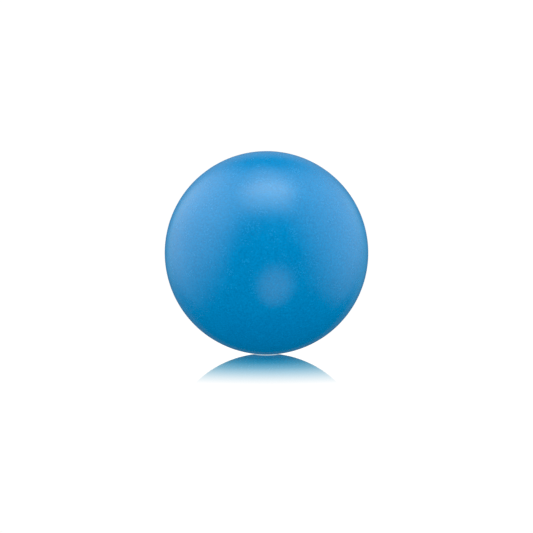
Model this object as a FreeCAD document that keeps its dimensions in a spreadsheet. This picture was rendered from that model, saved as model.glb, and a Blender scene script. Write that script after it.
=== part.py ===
"""A full-size croquet ball of the composition kind: a compressed-cork core inside a plastic shell.

The shell is moulded as two half-spheres, front and rear, that meet on the plane Y = 0. The front half has a
tongue on the inner half of its wall, and the rear half has a rebate that the tongue plugs into. Each half is
cemented to the core, the joint is cemented as well, and the closed ball is turned true, which leaves one fine
line round it. The six pieces fill the whole ball, with no gap left between them.

Frame: millimetres, origin at the ball's centre, +Z up. The Y axis runs through the poles of both half-shells,
and -Y is the front. Every piece is turned about the Y axis from a half-section drawn in the XY plane.
"""

import FreeCAD, Part
import math
import os

import Sketcher

# Driving dimensions, in millimetres: (alias, value, what it is).
SIZES = [
    ("BallDiameter", 92.0, "regulation full size, 3 5/8 in"),
    ("ShellWall", 8.0, "wall of the plastic shell"),
    ("CoreBond", 0.4, "cement between the core and the shell"),
    ("TongueReach", 3.0, "how far the front tongue passes the parting plane"),
    ("TongueChamfer", 0.6, "lead-in on the end of the tongue"),
    ("SeamGap", 0.2, "cement between faces that meet along the ball's axis"),
    ("RebateClearance", 0.15, "cement round the tongue, per side"),
]

# Radii of the spherical faces, and places of the joint's faces, each worked out from the sheet.
OUTER = "Sizes.BallDiameter / 2"
INNER = "Sizes.BallDiameter / 2 - Sizes.ShellWall"
CORE = "Sizes.BallDiameter / 2 - Sizes.ShellWall - Sizes.CoreBond"
TONGUE = "Sizes.BallDiameter / 2 - Sizes.ShellWall / 2"
REBATE = "Sizes.BallDiameter / 2 - Sizes.ShellWall / 2 + Sizes.RebateClearance"
HALF_GAP = "Sizes.SeamGap / 2"
TONGUE_END = "Sizes.TongueReach"
REBATE_END = "Sizes.TongueReach + Sizes.SeamGap"
CHAMFER = "Sizes.TongueChamfer"

VOLUME_TOLERANCE = 1.0  # mm3, of 408 000
FULL_TURN = 360.0
START, END = 1, 2  # the two ends of an edge, as the sketcher counts them
CENTRE = 3
ORIGIN = (-1, 1)
AXIS_OF_TURNING = -2


def add_sheet(doc):
    """The spreadsheet that drives every sketch."""
    sheet = doc.addObject("Spreadsheet::Sheet", "Sizes")
    for row, (alias, value, meaning) in enumerate(SIZES, start=1):
        sheet.set(f"A{row}", alias)
        sheet.set(f"B{row}", str(value))
        sheet.set(f"C{row}", meaning)
        sheet.setAlias(f"B{row}", alias)
    doc.recompute()
    return sheet


class HalfSection:
    """A closed outline right of the Y axis, drawn edge by edge from `start`, each edge to a point (x, y)."""

    def __init__(self, body, start):
        self.sketch = body.newObject("Sketcher::SketchObject", body.Name + "Section")
        plane = [f for f in body.Origin.OriginFeatures if f.Role == "XY_Plane"][0]
        self.sketch.AttachmentSupport = [(plane, "")]
        self.sketch.MapMode = "FlatFace"
        self.point = start
        self.ends = []  # each edge's (geometry index, its first end, its last end), in drawing order

    def _bind(self, kind, expression, drawn, *places):
        """A dimension, `drawn` long as the outline is drawn, whose value follows an expression of the sheet."""
        index = self.sketch.addConstraint(Sketcher.Constraint(kind, *places, drawn))
        self.sketch.setExpression(f"Constraints[{index}]", expression)

    def arc(self, radius, to, clockwise=False):
        """Round the ball's centre to the point `to`."""
        first, last = (to, self.point) if clockwise else (self.point, to)
        drawn = math.hypot(*to)
        circle = Part.Circle(FreeCAD.Vector(), FreeCAD.Vector(0, 0, 1), drawn)
        angles = [math.atan2(y, x) for x, y in (first, last)]
        edge = self.sketch.addGeometry(Part.ArcOfCircle(circle, *angles))
        self.sketch.addConstraint(Sketcher.Constraint("Coincident", edge, CENTRE, *ORIGIN))
        self._bind("Radius", radius, drawn, edge)
        self.ends.append((edge, END, START) if clockwise else (edge, START, END))
        self.point = to

    def line(self, to, direction=None):
        """Straight to `to`; `direction` is Horizontal or Vertical."""
        start, end = (FreeCAD.Vector(*p, 0) for p in (self.point, to))
        edge = self.sketch.addGeometry(Part.LineSegment(start, end))
        if direction:
            self.sketch.addConstraint(Sketcher.Constraint(direction, edge))
        self.ends.append((edge, START, END))
        self.point = to
        return edge

    def face(self, height, to, below=False):
        """A flat joint face, square to the ball's axis, at `height` above or below the parting plane."""
        edge = self.line(to, "Horizontal")
        places = (edge, START, *ORIGIN) if below else (*ORIGIN, edge, START)
        self._bind("DistanceY", height, abs(to[1]), *places)

    def wall(self, radius, to):
        """A cylindrical joint face round the ball's axis."""
        edge = self.line(to, "Vertical")
        self._bind("DistanceX", radius, to[0], *ORIGIN, edge, START)

    def chamfer(self, size, to):
        """A 45 degree bevel of legs `size`."""
        step = to[0] - self.point[0]
        edge = self.line(to)
        rising, falling = (edge, START, edge, END), (edge, END, edge, START)
        self._bind("DistanceX", size, abs(step), *(rising if step > 0 else falling))
        self._bind("DistanceY", size, abs(step), *(falling if step > 0 else rising))

    def along_axis(self, to):
        """Back along the axis of turning."""
        edge = self.line(to)
        for end in (START, END):
            self.sketch.addConstraint(Sketcher.Constraint("PointOnObject", edge, end, AXIS_OF_TURNING))

    def close(self):
        """Joins each edge to the next, and the last to the first."""
        for (a, _, a_end), (b, b_start, _) in zip(self.ends, self.ends[1:] + self.ends[:1]):
            self.sketch.addConstraint(Sketcher.Constraint("Coincident", a, a_end, b, b_start))
        return self.sketch


def turn(body, section):
    """The solid that a half-section sweeps in one turn about the Y axis."""
    turned = body.newObject("PartDesign::Revolution", body.Name + "Turned")
    turned.Profile = section
    turned.ReferenceAxis = (section, ["V_Axis"])
    turned.Angle = FULL_TURN
    section.Visibility = False


def on_sphere(radius, y):
    """The point of a circle of `radius` round the origin at height y, right of the axis."""
    return (math.sqrt(radius**2 - y**2), y)


def add_core(body, r):
    """Compressed cork composition, moulded as one plain sphere."""
    section = HalfSection(body, (0, -r["core"]))
    section.arc(CORE, (0, r["core"]))
    section.along_axis((0, -r["core"]))
    turn(body, section.close())


def add_front_shell(body, r):
    """The half-shell with the tongue: the inner half of its wall runs on past the parting plane."""
    section = HalfSection(body, (0, -r["outer"]))
    section.arc(OUTER, on_sphere(r["outer"], -r["half_gap"]))
    section.face(HALF_GAP, (r["tongue"], -r["half_gap"]), below=True)
    section.wall(TONGUE, (r["tongue"], r["tongue_end"] - r["chamfer"]))
    section.chamfer(CHAMFER, (r["tongue"] - r["chamfer"], r["tongue_end"]))
    section.face(TONGUE_END, on_sphere(r["inner"], r["tongue_end"]))
    section.arc(INNER, (0, -r["inner"]), clockwise=True)
    section.along_axis((0, -r["outer"]))
    turn(body, section.close())


def add_rear_shell(body, r):
    """The half-shell with the rebate, a square step that takes the front half's tongue."""
    section = HalfSection(body, on_sphere(r["outer"], r["half_gap"]))
    section.arc(OUTER, (0, r["outer"]))
    section.along_axis((0, r["inner"]))
    section.arc(INNER, on_sphere(r["inner"], r["rebate_end"]), clockwise=True)
    section.face(REBATE_END, (r["rebate"], r["rebate_end"]))
    section.wall(REBATE, (r["rebate"], r["half_gap"]))
    section.face(HALF_GAP, on_sphere(r["outer"], r["half_gap"]))
    turn(body, section.close())


def add_seam_bond(body, r):
    """Cement that fills the stepped joint, from the core bond out to the ball's surface."""
    section = HalfSection(body, on_sphere(r["outer"], -r["half_gap"]))
    section.arc(OUTER, on_sphere(r["outer"], r["half_gap"]))
    section.face(HALF_GAP, (r["rebate"], r["half_gap"]))
    section.wall(REBATE, (r["rebate"], r["rebate_end"]))
    section.face(REBATE_END, on_sphere(r["inner"], r["rebate_end"]))
    section.arc(INNER, on_sphere(r["inner"], r["tongue_end"]), clockwise=True)
    section.face(TONGUE_END, (r["tongue"] - r["chamfer"], r["tongue_end"]))
    section.chamfer(CHAMFER, (r["tongue"], r["tongue_end"] - r["chamfer"]))
    section.wall(TONGUE, (r["tongue"], -r["half_gap"]))
    section.face(HALF_GAP, on_sphere(r["outer"], -r["half_gap"]), below=True)
    turn(body, section.close())


def add_front_core_bond(body, r):
    """Cement coat of the front half-shell, which ends level with the tongue."""
    section = HalfSection(body, (0, -r["inner"]))
    section.arc(INNER, on_sphere(r["inner"], r["tongue_end"]))
    section.face(TONGUE_END, on_sphere(r["core"], r["tongue_end"]))
    section.arc(CORE, (0, -r["core"]), clockwise=True)
    section.along_axis((0, -r["inner"]))
    turn(body, section.close())


def add_rear_core_bond(body, r):
    """Cement coat of the rear half-shell, which meets the front coat at the tongue's end."""
    section = HalfSection(body, on_sphere(r["inner"], r["tongue_end"]))
    section.arc(INNER, (0, r["inner"]))
    section.along_axis((0, r["core"]))
    section.arc(CORE, on_sphere(r["core"], r["tongue_end"]), clockwise=True)
    section.face(TONGUE_END, on_sphere(r["inner"], r["tongue_end"]))
    turn(body, section.close())


PIECES = {
    "cork_core": add_core,
    "front_core_bond": add_front_core_bond,
    "rear_core_bond": add_rear_core_bond,
    "front_shell": add_front_shell,
    "rear_shell": add_rear_shell,
    "seam_bond": add_seam_bond,
}


def drawn_lengths(sheet):
    """The lengths that the sections are drawn with, worked out as the expressions above say."""
    size = {alias: sheet.get(alias) for alias, _, _ in SIZES}
    outer = size["BallDiameter"] / 2
    inner = outer - size["ShellWall"]
    tongue = outer - size["ShellWall"] / 2
    return {
        "outer": outer,
        "inner": inner,
        "core": inner - size["CoreBond"],
        "tongue": tongue,
        "rebate": tongue + size["RebateClearance"],
        "half_gap": size["SeamGap"] / 2,
        "tongue_end": size["TongueReach"],
        "rebate_end": size["TongueReach"] + size["SeamGap"],
        "chamfer": size["TongueChamfer"],
    }


def check(doc, bodies, ball_radius):
    """Stops unless every object is sound, every section is fully constrained and the pieces fill the ball."""
    for item in doc.Objects:
        if {"Invalid", "Error"} & set(item.State):
            raise RuntimeError(f"{item.Label} did not compute: {item.State}")
        if item.isDerivedFrom("Sketcher::SketchObject") and not item.FullyConstrained:
            raise RuntimeError(f"{item.Label} is not fully constrained")
    for body in bodies:
        shape = body.Shape
        if shape.isNull() or not shape.isValid() or len(shape.Solids) != 1:
            raise RuntimeError(f"{body.Label} is not one valid solid")
        print(f"{body.Label}: {shape.Volume:.1f} mm3")
    filled = sum(body.Shape.Volume for body in bodies)
    whole = 4 / 3 * math.pi * ball_radius**3
    if abs(filled - whole) > VOLUME_TOLERANCE:
        raise RuntimeError(f"the pieces fill {filled:.1f} mm3 of the ball's {whole:.1f}")


def main():
    doc = FreeCAD.newDocument("CroquetBall")
    lengths = drawn_lengths(add_sheet(doc))
    bodies = []
    for label, add_piece in PIECES.items():
        body = doc.addObject("PartDesign::Body", label)
        body.Label = label
        add_piece(body, lengths)
        bodies.append(body)
    doc.recompute()
    check(doc, bodies, lengths["outer"])
    os.makedirs("parts", exist_ok=True)
    for body in bodies:
        body.Shape.exportStep(f"parts/{body.Label}.step")


main()
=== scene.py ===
"""A smooth blue croquet ball on a white studio table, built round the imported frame.

The ball is two plastic half-shells with a stepped joint, cement, and a cork core. Each is a closed mesh in
metres, turned about the Y axis as the CAD pieces are, and each replaces its own CAD node.
"""

import math

import bmesh
import bpy
import numpy as np
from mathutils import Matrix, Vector
from mathutils.kdtree import KDTree


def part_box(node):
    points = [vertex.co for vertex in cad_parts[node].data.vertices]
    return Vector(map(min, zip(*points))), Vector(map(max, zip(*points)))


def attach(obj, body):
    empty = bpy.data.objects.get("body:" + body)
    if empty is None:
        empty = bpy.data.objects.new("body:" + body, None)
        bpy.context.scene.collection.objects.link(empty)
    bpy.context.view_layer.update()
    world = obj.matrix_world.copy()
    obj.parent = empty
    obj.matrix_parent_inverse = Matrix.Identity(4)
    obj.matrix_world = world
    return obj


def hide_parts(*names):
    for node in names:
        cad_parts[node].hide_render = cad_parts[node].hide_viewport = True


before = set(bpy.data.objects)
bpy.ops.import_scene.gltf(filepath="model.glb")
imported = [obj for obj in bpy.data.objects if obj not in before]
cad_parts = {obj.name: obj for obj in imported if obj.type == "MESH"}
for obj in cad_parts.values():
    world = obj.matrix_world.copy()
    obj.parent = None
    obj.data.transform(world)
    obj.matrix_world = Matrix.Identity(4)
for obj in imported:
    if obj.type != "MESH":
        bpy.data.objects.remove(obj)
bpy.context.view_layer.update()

FRONT, REAR = -1, 1
MM = 0.001

# Sizes of the ball. The first six are read from the poles and joint faces of the CAD nodes.
RADIUS = -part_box("front_shell")[0].y
INNER_RADIUS = -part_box("front_core_bond")[0].y
CORE_RADIUS = -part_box("cork_core")[0].y
HALF_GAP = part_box("rear_shell")[0].y
TONGUE_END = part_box("front_shell")[1].y
REBATE_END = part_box("seam_bond")[1].y
TONGUE_RADIUS = (RADIUS + INNER_RADIUS) / 2
REBATE_CLEARANCE = 0.15 * MM
REBATE_RADIUS = TONGUE_RADIUS + REBATE_CLEARANCE
TONGUE_CHAMFER = 0.6 * MM
FLOOR_LEVEL = -RADIUS

# The two halves are trimmed with their edges just broken, and the cement ends at the bottom of that groove.
LIP = 0.1 * MM
LIP_STEPS = 4

CELLS = 96  # quads along a quarter of the ball's outline
CREASE = math.radians(30)  # edges that turn by more than this are sharp

# Cork granules, as the core's surface shows them.
GRANULES = 2200
GRANULE_SEED = 92
GRANULE_JITTER = 1.15  # of the granules' spacing
GROOVE_DEPTH = 0.22 * MM
GROOVE_WIDTH = 0.9 * MM
GRANULE_STEP = 0.12 * MM  # the most that one granule stands below another
CEMENT_CLEARANCE = 0.02 * MM  # between the cork and the cement keyed into it


# ---- meshes ----------------------------------------------------------------------------------------------


def half_sphere(cells):
    """Unit directions and quads of the -Y half of a sphere, and its rim in order round the Y axis.

    It is half a cube pushed out to a sphere with even angles, so it has no pole and no thin faces.
    """
    whole = np.tan(np.linspace(-1, 1, cells + 1) * math.pi / 4)
    across, along = whole[:, None], whole[None]
    side = whole[: cells // 2 + 1, None]
    faces = [(across, -1, along), (1, side, along), (-1, side, along), (along, side, 1), (along, side, -1)]
    points, quads, count = [], [], 0
    for face in faces:
        patch = np.stack(np.broadcast_arrays(*face), axis=-1)
        index = count + np.arange(patch.shape[0] * patch.shape[1]).reshape(patch.shape[:2])
        corners = (index[:-1, :-1], index[1:, :-1], index[1:, 1:], index[:-1, 1:])
        quads.append(np.stack(corners, axis=-1).reshape(-1, 4))
        points.append(patch.reshape(-1, 3))
        count += index.size
    points, merged = np.unique(np.concatenate(points).round(7), axis=0, return_inverse=True)
    directions = points / np.linalg.norm(points, axis=1, keepdims=True)
    rim = np.flatnonzero(np.abs(directions[:, 1]) < 1e-6)
    rim = rim[np.argsort(np.arctan2(directions[rim, 2], directions[rim, 0]))]
    return directions, merged.reshape(-1)[np.concatenate(quads)], rim


DIRECTIONS, QUADS, RIM = half_sphere(CELLS)


def cap(radius, rim_y, side, relief=None):
    """The part of a sphere from its FRONT or REAR pole to the circle at height rim_y, less any relief."""
    spread = math.acos(side * rim_y / radius) / (math.pi / 2)
    polar = np.arccos(np.clip(-DIRECTIONS[:, 1], -1, 1)) * spread
    outwards = DIRECTIONS[:, [0, 2]] / np.maximum(np.sin(polar / spread), 1e-9)[:, None]
    unit = np.empty_like(DIRECTIONS)
    unit[:, [0, 2]] = outwards * np.sin(polar)[:, None]
    unit[:, 1] = side * np.cos(polar)
    depth = relief(unit)[:, None] if relief else 0
    return unit * (radius - depth), QUADS, RIM


def ring(radius, y):
    """A circle of points round the Y axis, in step with the rim of every cap."""
    points = DIRECTIONS[RIM] * radius
    points[:, 1] = y
    return points, np.empty((0, 4), int), np.arange(len(RIM))


def lip(side):
    """The broken outer edge of a half-shell, from the ball's surface to the joint face."""
    angles = np.linspace(0, math.pi / 2, LIP_STEPS + 1)[1:]
    depth = LIP * (1 - np.cos(angles))
    height = HALF_GAP + LIP * (1 - np.sin(angles))
    return [ring(RADIUS - d, side * h) for d, h in zip(depth, height)]


def solid(name, stations, closed=False):
    """A closed mesh of caps and rings, each joined to the next, listed in order round the half-section."""
    points, quads, rims, count = [], [], [], 0
    for station_points, station_quads, rim in stations:
        points.append(station_points)
        quads.append(station_quads + count)
        rims.append(rim + count)
        count += len(station_points)
    if closed:
        rims.append(rims[0])
    for a, b in zip(rims, rims[1:]):
        quads.append(np.stack([a, np.roll(a, -1), np.roll(b, -1), b], axis=-1))
    mesh = bpy.data.meshes.new(name)
    mesh.from_pydata(np.concatenate(points).tolist(), [], np.concatenate(quads).tolist())
    work = bmesh.new()
    work.from_mesh(mesh)
    bmesh.ops.recalc_face_normals(work, faces=work.faces)
    work.to_mesh(mesh)
    work.free()
    mesh.shade_smooth()
    mesh.set_sharp_from_angle(angle=CREASE)
    piece = bpy.data.objects.new(name, mesh)
    bpy.context.scene.collection.objects.link(piece)
    return piece


def place(piece, node, material):
    """Hangs a finished piece on the ball's body in place of its CAD node."""
    piece.data.materials.append(material)
    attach(piece, "root")
    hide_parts(node)


# ---- cork granules ---------------------------------------------------------------------------------------


def granule_centres():
    """Unit directions spread evenly over a sphere on a spiral, then jostled."""
    rng = np.random.default_rng(GRANULE_SEED)
    count = np.arange(GRANULES) + 0.5
    height = 1 - 2 * count / GRANULES
    turn = count * math.pi * (3 - math.sqrt(5))
    level = np.sqrt(1 - height**2)
    centres = np.stack([level * np.cos(turn), height, level * np.sin(turn)], axis=-1)
    spacing = math.sqrt(4 * math.pi / GRANULES)
    centres += rng.uniform(-0.5, 0.5, centres.shape) * spacing * GRANULE_JITTER
    return centres / np.linalg.norm(centres, axis=1, keepdims=True), rng.random(GRANULES)


CENTRES, TONES = granule_centres()
GRANULE_TREE = KDTree(GRANULES)
for number, centre in enumerate(CENTRES):
    GRANULE_TREE.insert(centre, number)
GRANULE_TREE.balance()


def granules(directions):
    """For each direction, its granule's tone and how far into the groove between granules it lies, 0 to 1."""
    tone, groove = np.empty(len(directions)), np.empty(len(directions))
    for i, direction in enumerate(directions):
        (_, nearest, near), (_, _, far) = GRANULE_TREE.find_n(direction, 2)
        edge = min(1.0, (far - near) * CORE_RADIUS / GROOVE_WIDTH)
        tone[i] = TONES[nearest]
        groove[i] = (1 - edge) ** 2
    return tone, groove


def granule_relief(directions):
    """How deep the core's surface lies under its full radius, in metres."""
    tone, groove = granules(directions)
    return GRANULE_STEP * (1 - tone) * (1 - groove) + GROOVE_DEPTH * groove


def cement_relief(directions):
    """The face of the cement that has run into the granules, just clear of them."""
    return granule_relief(directions) - CEMENT_CLEARANCE


# ---- materials -------------------------------------------------------------------------------------------

POLISH_IOR = 1.5  # of the ball's plastic and of the table


class NodeTree:
    """A node tree, with short ways to add and join nodes."""

    def __init__(self, tree):
        self.tree = tree

    def add(self, kind, inputs=None, **settings):
        """A node with its settings, and its inputs set to a value or joined to another node's output."""
        node = self.tree.nodes.new(kind)
        for name, value in settings.items():
            setattr(node, name, value)
        for name, value in (inputs or {}).items():
            if isinstance(value, bpy.types.NodeSocket):
                self.tree.links.new(value, node.inputs[name])
            else:
                node.inputs[name].default_value = value
        return node

    def position(self):
        return self.add("ShaderNodeTexCoord").outputs["Object"]

    def noise(self, size, detail=2.0, distortion=0.0):
        """Noise, 0 to 1, whose features are about `size` metres across."""
        inputs = {"Vector": self.position(), "Scale": 1 / size, "Detail": detail, "Distortion": distortion}
        return self.add("ShaderNodeTexNoise", inputs).outputs["Fac"]

    def spread(self, value, low, high, start=0.3, stop=0.7, how="LINEAR"):
        """Takes value from start..stop to low..high."""
        inputs = {"Value": value, "From Min": start, "From Max": stop, "To Min": low, "To Max": high}
        return self.add("ShaderNodeMapRange", inputs, interpolation_type=how).outputs["Result"]

    def math(self, operation, a, b):
        return self.add("ShaderNodeMath", {0: a, 1: b}, operation=operation).outputs[0]

    def shades(self, value, colours, places=None):
        """Colours over value, 0 to 1, at the given places or else evenly spaced."""
        ramp = self.add("ShaderNodeValToRGB", {"Fac": value})
        stops = ramp.color_ramp.elements
        while len(stops) < len(colours):
            stops.new(0.5)
        for i, colour in enumerate(colours):
            stops[i].position = places[i] if places else i / (len(colours) - 1)
            stops[i].color = (*colour, 1)
        return ramp.outputs["Color"]

    def bump(self, height, distance, normal=None):
        inputs = {"Height": height, "Distance": distance}
        if normal:
            inputs["Normal"] = normal
        return self.add("ShaderNodeBump", inputs).outputs["Normal"]


class Shader(NodeTree):
    """The node tree of a new material."""

    def __init__(self, name):
        self.material = bpy.data.materials.new(name)
        self.material.use_nodes = True
        super().__init__(self.material.node_tree)
        self.tree.nodes.clear()
        self.output = self.add("ShaderNodeOutputMaterial")

    def surface(self, inputs):
        """Ends the material in a Principled node."""
        principled = self.add("ShaderNodeBsdfPrincipled", inputs)
        self.tree.links.new(principled.outputs["BSDF"], self.output.inputs["Surface"])
        return self.material


def shell_plastic():
    """Through-coloured blue plastic, tumbled to a satin polish, its pigment faintly mottled."""
    shader = Shader("shell_plastic")
    clouds = shader.spread(shader.noise(14 * MM, detail=3.0), 0, 0.12)
    mottle = shader.spread(shader.noise(0.7 * MM), 0, 0.88)
    blues = [(0.0, 0.205, 0.522), (0.0, 0.259, 0.626), (0.0, 0.313, 0.73)]
    colour = shader.shades(shader.math("ADD", clouds, mottle), blues)
    polish = shader.spread(shader.noise(5 * MM), 0.245, 0.275)
    scuffs = shader.spread(shader.noise(0.7 * MM), -0.012, 0.012)
    rough = shader.math("ADD", polish, scuffs)
    ripple = shader.bump(shader.noise(3.5 * MM), 0.004 * MM)
    grain = shader.bump(shader.noise(0.5 * MM, detail=3.0), 0.002 * MM, ripple)
    return shader.surface({"Base Color": colour, "Roughness": rough, "IOR": POLISH_IOR, "Normal": grain})


def cement_with_painted_seam_shade():
    """Cement tinted a darker blue than the plastic, with a few paler streaks and the skin it cures with. Its
    dark tone is partly the cement's own tint and partly painted shade for the foot of the seam's groove.
    """
    shader = Shader("cement_with_painted_seam_shade")
    streaks = shader.spread(shader.noise(6 * MM, detail=4.0, distortion=1.5), 0, 1)
    # These dark blues are partly the cement's tint and partly painted shade, so the seam reads as a fine dark
    # line.
    colour = shader.shades(streaks, [(0.006, 0.07, 0.19), (0.01, 0.10, 0.26), (0.02, 0.14, 0.33)])
    gloss = shader.spread(shader.noise(1.5 * MM), 0.32, 0.5)
    skin = shader.bump(shader.noise(0.8 * MM, detail=4.0), 0.03 * MM)
    return shader.surface({"Base Color": colour, "Roughness": gloss, "Normal": skin})


def compressed_cork():
    """Cork granules, each with a tone of its own, in a dark binder."""
    shader = Shader("compressed_cork")
    tone = shader.add("ShaderNodeAttribute", attribute_name="granule_tone").outputs["Fac"]
    groove = shader.add("ShaderNodeAttribute", attribute_name="granule_groove").outputs["Fac"]
    pores = shader.spread(shader.noise(0.5 * MM, detail=4.0), -0.25, 0.25)
    shades = [(0.16, 0.075, 0.035), (0.32, 0.17, 0.085), (0.45, 0.27, 0.14), (0.56, 0.37, 0.21)]
    colour = shader.shades(shader.math("ADD", tone, pores), shades)
    binder = shader.math("MULTIPLY", groove, 0.85)
    mixed = shader.add("ShaderNodeMix", data_type="RGBA", blend_type="MIX")
    shader.tree.links.new(binder, mixed.inputs["Factor"])
    shader.tree.links.new(colour, mixed.inputs["A"])
    mixed.inputs["B"].default_value = (0.05, 0.03, 0.02, 1)
    rough = shader.spread(shader.noise(0.9 * MM), 0.75, 0.95)
    grain = shader.bump(shader.noise(0.4 * MM, detail=5.0), 0.12 * MM)
    return shader.surface({"Base Color": mixed.outputs["Result"], "Roughness": rough, "Normal": grain})


# ---- the ball's pieces -----------------------------------------------------------------------------------


def add_front_half(material):
    """Outside, broken edge, joint face, tongue with its lead-in, then the inside."""
    stations = [
        cap(RADIUS, -HALF_GAP - LIP, FRONT),
        *lip(FRONT),
        ring(TONGUE_RADIUS, -HALF_GAP),
        ring(TONGUE_RADIUS, TONGUE_END - TONGUE_CHAMFER),
        ring(TONGUE_RADIUS - TONGUE_CHAMFER, TONGUE_END),
        cap(INNER_RADIUS, TONGUE_END, FRONT),
    ]
    place(solid("front_half_shell", stations), "front_shell", material)


def add_rear_half(material):
    """Outside, broken edge, joint face, rebate, then the inside."""
    stations = [
        cap(RADIUS, HALF_GAP + LIP, REAR),
        *lip(REAR),
        ring(REBATE_RADIUS, HALF_GAP),
        ring(REBATE_RADIUS, REBATE_END),
        cap(INNER_RADIUS, REBATE_END, REAR),
    ]
    place(solid("rear_half_shell", stations), "rear_shell", material)


def add_seam_cement(material):
    """Cement of the stepped joint, from the bottom of the groove round the ball to the core's own coat."""
    ground = RADIUS - LIP
    stations = [
        ring(ground, -HALF_GAP),
        ring(ground, HALF_GAP),
        ring(REBATE_RADIUS, HALF_GAP),
        ring(REBATE_RADIUS, REBATE_END),
        ring(math.sqrt(INNER_RADIUS**2 - REBATE_END**2), REBATE_END),
        ring(math.sqrt(INNER_RADIUS**2 - TONGUE_END**2), TONGUE_END),
        ring(TONGUE_RADIUS - TONGUE_CHAMFER, TONGUE_END),
        ring(TONGUE_RADIUS, TONGUE_END - TONGUE_CHAMFER),
        ring(TONGUE_RADIUS, -HALF_GAP),
    ]
    place(solid("seam_cement", stations, closed=True), "seam_bond", material)


def add_core_cement(name, node, side, material):
    """One half-shell's coat of cement, smooth against the plastic and keyed into the cork."""
    stations = [
        cap(INNER_RADIUS, TONGUE_END, side),
        cap(CORE_RADIUS, TONGUE_END, side, cement_relief),
    ]
    place(solid(name, stations), node, material)


def add_cork_ball(material):
    """The core: two caps that meet in a band as wide as the faces beside it."""
    half_band = CORE_RADIUS * math.pi / 4 / CELLS
    stations = [cap(CORE_RADIUS, side * half_band, side, granule_relief) for side in (FRONT, REAR)]
    piece = solid("cork_ball", stations)
    points = np.array([vertex.co for vertex in piece.data.vertices])
    tone, groove = granules(points / np.linalg.norm(points, axis=1, keepdims=True))
    for name, values in (("granule_tone", tone), ("granule_groove", groove)):
        attribute = piece.data.attributes.new(name, "FLOAT", "POINT")
        attribute.data.foreach_set("value", values.astype(np.float32))
    place(piece, "cork_core", material)


plastic, cement, cork = shell_plastic(), cement_with_painted_seam_shade(), compressed_cork()
add_front_half(plastic)
add_rear_half(plastic)
add_seam_cement(cement)
add_core_cement("front_core_cement", "front_core_bond", FRONT, cement)
add_core_cement("rear_core_cement", "rear_core_bond", REAR, cement)
add_cork_ball(cork)


# ---- camera ----------------------------------------------------------------------------------------------

LENS = 0.100
SENSOR = 0.036
FRAME_PIXELS = 533
BALL_PIXELS = 101.8  # the ball's radius in the frame
BALL_RISE = 13.6  # how far the ball's centre stands above the frame's centre
CAMERA_ELEVATION = math.radians(2.5)


def add_camera():
    """Straight in front and a little above, aimed under the ball's centre so that the ball sits high."""
    pixel = SENSOR / FRAME_PIXELS / LENS  # the angle that one pixel covers
    distance = RADIUS / math.sin(math.atan(BALL_PIXELS * pixel))
    data = bpy.data.cameras.new("camera")
    data.lens = LENS / MM
    data.sensor_width = SENSOR / MM
    camera = bpy.data.objects.new("camera", data)
    bpy.context.scene.collection.objects.link(camera)
    back = Vector((0, -math.cos(CAMERA_ELEVATION), math.sin(CAMERA_ELEVATION)))
    camera.location = back * distance
    aim = Vector((0, 0, -distance * BALL_RISE * pixel))
    camera.rotation_mode = "QUATERNION"
    camera.rotation_quaternion = (aim - camera.location).to_track_quat("-Z", "Y")
    bpy.context.scene.camera = camera


add_camera()


# ---- studio ----------------------------------------------------------------------------------------------

STUDIO_RADIUS = 7.0  # beyond the corners of every softbox
LAMP_DISTANCE = 2.0
WHITE = 1.02  # just over full white in the picture

# The table mirrors the ball near its foot only. Each pair is a share of that reach, and how strong the mirror
# image is there. At the very foot, a thin pale line parts the ball from its image.
MIRROR_REACH = 0.105
MIRROR_FADE = (
    (0.044, 0.25),
    (0.06, 1.0),
    (0.167, 0.94),
    (0.333, 0.77),
    (0.5, 0.56),
    (0.667, 0.33),
    (0.833, 0.14),
    (1.0, 0.0),
)
MIRROR_BLUE = 0.0, 0.42, 0.65  # the ball's colour in the picture, which the image fades from
MIRROR_GAIN = 1.9  # brings the photo's low view of the table to a full mirror
MIRROR_ROUGHNESS = 0.03
PICTURE_GAMMA = 2.2  # between the picture's levels and light

# Lamps show in the polish only, and a soft fill from all round lights the colour only.
LAMP_TINT = 1.0, 0.96, 0.84
WARM_TINT = 1.0, 0.95, 0.77
COOL_TINT = 0.5, 1.0, 1.0
FILL = 1.44
FILL_FROM_FRONT, FILL_FROM_REAR = 0.84, 1.3
FILL_LEVELS = 0.10, 0.70, 0.68, 0.77, 0.91  # from straight down to straight up
RED_CUT = 0.017  # light taken off the picture's red, which the photo's pure blue has none of


def dome():
    """The white surround that the camera and the table see. It gives the ball no light."""
    mesh = bpy.data.meshes.new("studio_dome")
    work = bmesh.new()
    bmesh.ops.create_icosphere(work, subdivisions=5, radius=STUDIO_RADIUS)
    work.to_mesh(mesh)
    work.free()
    shader = Shader("white_surround")
    glow = shader.add("ShaderNodeEmission", {"Color": (1, 1, 1, 1), "Strength": WHITE})
    shader.tree.links.new(glow.outputs[0], shader.output.inputs["Surface"])
    mesh.materials.append(shader.material)
    shader.material.cycles.emission_sampling = "NONE"
    piece = bpy.data.objects.new("studio_dome", mesh)
    bpy.context.scene.collection.objects.link(piece)
    piece.visible_diffuse = False
    piece.visible_shadow = False
    return piece


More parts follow.
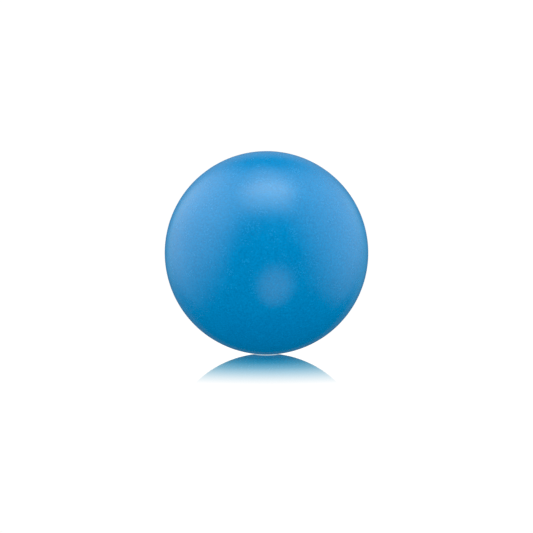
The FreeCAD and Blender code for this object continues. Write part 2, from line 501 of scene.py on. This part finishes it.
def polished_white():
    """An even glowing white that mirrors the ball near its foot, the more so the lower the view."""
    shader = Shader("polished_white")
    away = shader.add("ShaderNodeVectorMath", {0: shader.position()}, operation="LENGTH").outputs["Value"]
    places, shares = [], []
    for place_out, strength in MIRROR_FADE:
        faded = [(1 - (1 - blue) * strength) ** PICTURE_GAMMA for blue in MIRROR_BLUE]
        places.append(place_out)
        shares.append([(1 - light) / (1 - blue**PICTURE_GAMMA) for light, blue in zip(faded, MIRROR_BLUE)])
    tint = shader.shades(shader.spread(away, 0, 1, 0, MIRROR_REACH), shares, places)
    fresnel = shader.add("ShaderNodeFresnel", {"IOR": POLISH_IOR}).outputs[0]
    gleam = shader.math("MINIMUM", shader.math("MULTIPLY", fresnel, MIRROR_GAIN), 1.0)
    share = shader.add("ShaderNodeVectorMath", {0: tint, "Scale": gleam}, operation="SCALE").outputs["Vector"]
    split = {0: (1, 1, 1), 1: share}
    rest = shader.add("ShaderNodeVectorMath", split, operation="SUBTRACT").outputs["Vector"]
    glow = shader.add("ShaderNodeEmission", {"Color": rest, "Strength": WHITE})
    mirror = shader.add("ShaderNodeBsdfAnisotropic", {"Color": share, "Roughness": MIRROR_ROUGHNESS})
    both = shader.add("ShaderNodeAddShader", {0: glow.outputs[0], 1: mirror.outputs[0]})
    shader.tree.links.new(both.outputs[0], shader.output.inputs["Surface"])
    shader.material.cycles.emission_sampling = "NONE"
    return shader.material


def table():
    """A white disc out to the surround. Only the camera sees it."""
    mesh = bpy.data.meshes.new("table")
    work = bmesh.new()
    bmesh.ops.create_circle(work, cap_ends=True, segments=128, radius=STUDIO_RADIUS)
    work.to_mesh(mesh)
    work.free()
    mesh.materials.append(polished_white())
    piece = bpy.data.objects.new("table", mesh)
    piece.location.z = FLOOR_LEVEL
    bpy.context.scene.collection.objects.link(piece)
    piece.visible_diffuse = False
    piece.visible_glossy = False
    piece.visible_shadow = False
    return piece


def ambient():
    """Soft light from all round for the plastic's own colour, graded from below up and from front to rear."""
    world = bpy.data.worlds.new("studio")
    bpy.context.scene.world = world
    world.use_nodes = True
    world.node_tree.nodes.clear()
    sky = NodeTree(world.node_tree)
    direction = sky.add("ShaderNodeTexCoord").outputs["Generated"]
    _, along, height = sky.add("ShaderNodeSeparateXYZ", {0: direction}).outputs
    glow = sky.shades(sky.spread(height, 0, 1, -1, 1), [(level, level, level) for level in FILL_LEVELS])
    slant = sky.spread(along, FILL_FROM_FRONT, FILL_FROM_REAR, -1, 1)
    strength = sky.math("MULTIPLY", slant, FILL)
    background = sky.add("ShaderNodeBackground", {"Color": glow, "Strength": strength})
    sky.add("ShaderNodeOutputWorld", {"Surface": background.outputs[0]})
    world.cycles_visibility.glossy = False
    world.cycles_visibility.camera = False


def softbox(name, azimuth, elevation, width, height, radiance, feather, foot=1.0, round_front=False,
            tint=LAMP_TINT):
    """A softbox that shows in the ball's polish.

    Its place and size are in degrees as seen from the ball, with azimuth 0 on the camera's side and 90 on +X.
    `feather` is the share of the way in over which its edges fade, and `foot` is how bright its lower edge is
    beside its upper one.
    """
    data = bpy.data.lights.new(name, "AREA")
    data.shape = "ELLIPSE" if round_front else "RECTANGLE"
    half_width = LAMP_DISTANCE * math.tan(math.radians(width) / 2)
    half_height = LAMP_DISTANCE * math.tan(math.radians(height) / 2)
    data.size, data.size_y = 2 * half_width, 2 * half_height
    area = (math.pi if round_front else 4) * half_width * half_height
    data.energy = radiance * math.pi * area
    data.color = tint
    data.use_nodes = True
    front = NodeTree(data.node_tree)
    to_unit = {0: front.position(), 1: (1 / half_width, 1 / half_height, 0)}
    scaled = front.add("ShaderNodeVectorMath", to_unit, operation="MULTIPLY").outputs["Vector"]
    if round_front:
        away = front.add("ShaderNodeVectorMath", {0: scaled}, operation="LENGTH").outputs["Value"]
        glow = front.spread(away, 1, 0, 1 - feather, 1, "SMOOTHSTEP")
    else:
        sides = front.add("ShaderNodeSeparateXYZ", {0: scaled}).outputs
        glow = front.spread(sides[1], foot, 1, -1, 1)
        for side in sides[:2]:
            away = front.math("ABSOLUTE", side, 0.0)
            fade = front.spread(away, 1, 0, 1 - feather, 1, "SMOOTHSTEP")
            glow = front.math("MULTIPLY", glow, fade)
    emission = next(node for node in data.node_tree.nodes if node.type == "EMISSION")
    data.node_tree.links.new(glow, emission.inputs["Strength"])
    lamp = bpy.data.objects.new(name, data)
    bpy.context.scene.collection.objects.link(lamp)
    a, e = math.radians(azimuth), math.radians(elevation)
    towards = Vector((math.sin(a) * math.cos(e), -math.cos(a) * math.cos(e), math.sin(e)))
    lamp.location = towards * LAMP_DISTANCE
    lamp.rotation_mode = "QUATERNION"
    lamp.rotation_quaternion = lamp.location.to_track_quat("Z", "Y")
    lamp.visible_diffuse = False
    lamp.visible_camera = False


surround, tabletop = dome(), table()
only_table = bpy.data.collections.new("lit_by_the_dome")
only_table.objects.link(tabletop)
surround.light_linking.receiver_collection = only_table
ambient()

# Each has its name, azimuth, elevation, width, height, radiance and feather. The low ones stand below the
# table's level, because the table hides nothing from the polish.
softbox("overhead_box", 60, 88, 56, 67, 2.3, 1.0, tint=WARM_TINT)
softbox("key_box", 1, 67, 64, 54, 4.65, 0.72, foot=0.38, tint=WARM_TINT)
softbox("left_box", 267, 17, 118, 122, 3.05, 0.87, foot=0.0)
softbox("right_box", 92, 21, 118, 128, 1.78, 1.0, foot=0.62)
softbox("high_rear_box", 183, 28, 124, 42, 0.2, 0.8)
softbox("rear_box", 182, 5, 90, 90, 0.12, 0.3, tint=WARM_TINT)
softbox("rear_right_box", 142, 2, 28, 58, 0.25, 0.6, tint=COOL_TINT)
softbox("rear_left_box", 217, 7, 28, 58, 0.25, 0.6, tint=COOL_TINT)
softbox("low_spot", 11, -34.5, 48, 58, 1.5, 0.66, round_front=True)
softbox("low_left_box", 275, -38, 98, 42, 0.15, 0.9)
softbox("low_right_box", 80, -34, 98, 42, 0.12, 0.9)
softbox("low_front_box", 0, -62, 90, 40, 0.26, 1.0)

scene = bpy.context.scene
scene.view_settings.view_transform = "Standard"
scene.view_settings.use_curve_mapping = True
scene.view_settings.curve_mapping.black_level = (RED_CUT, 0, 0)
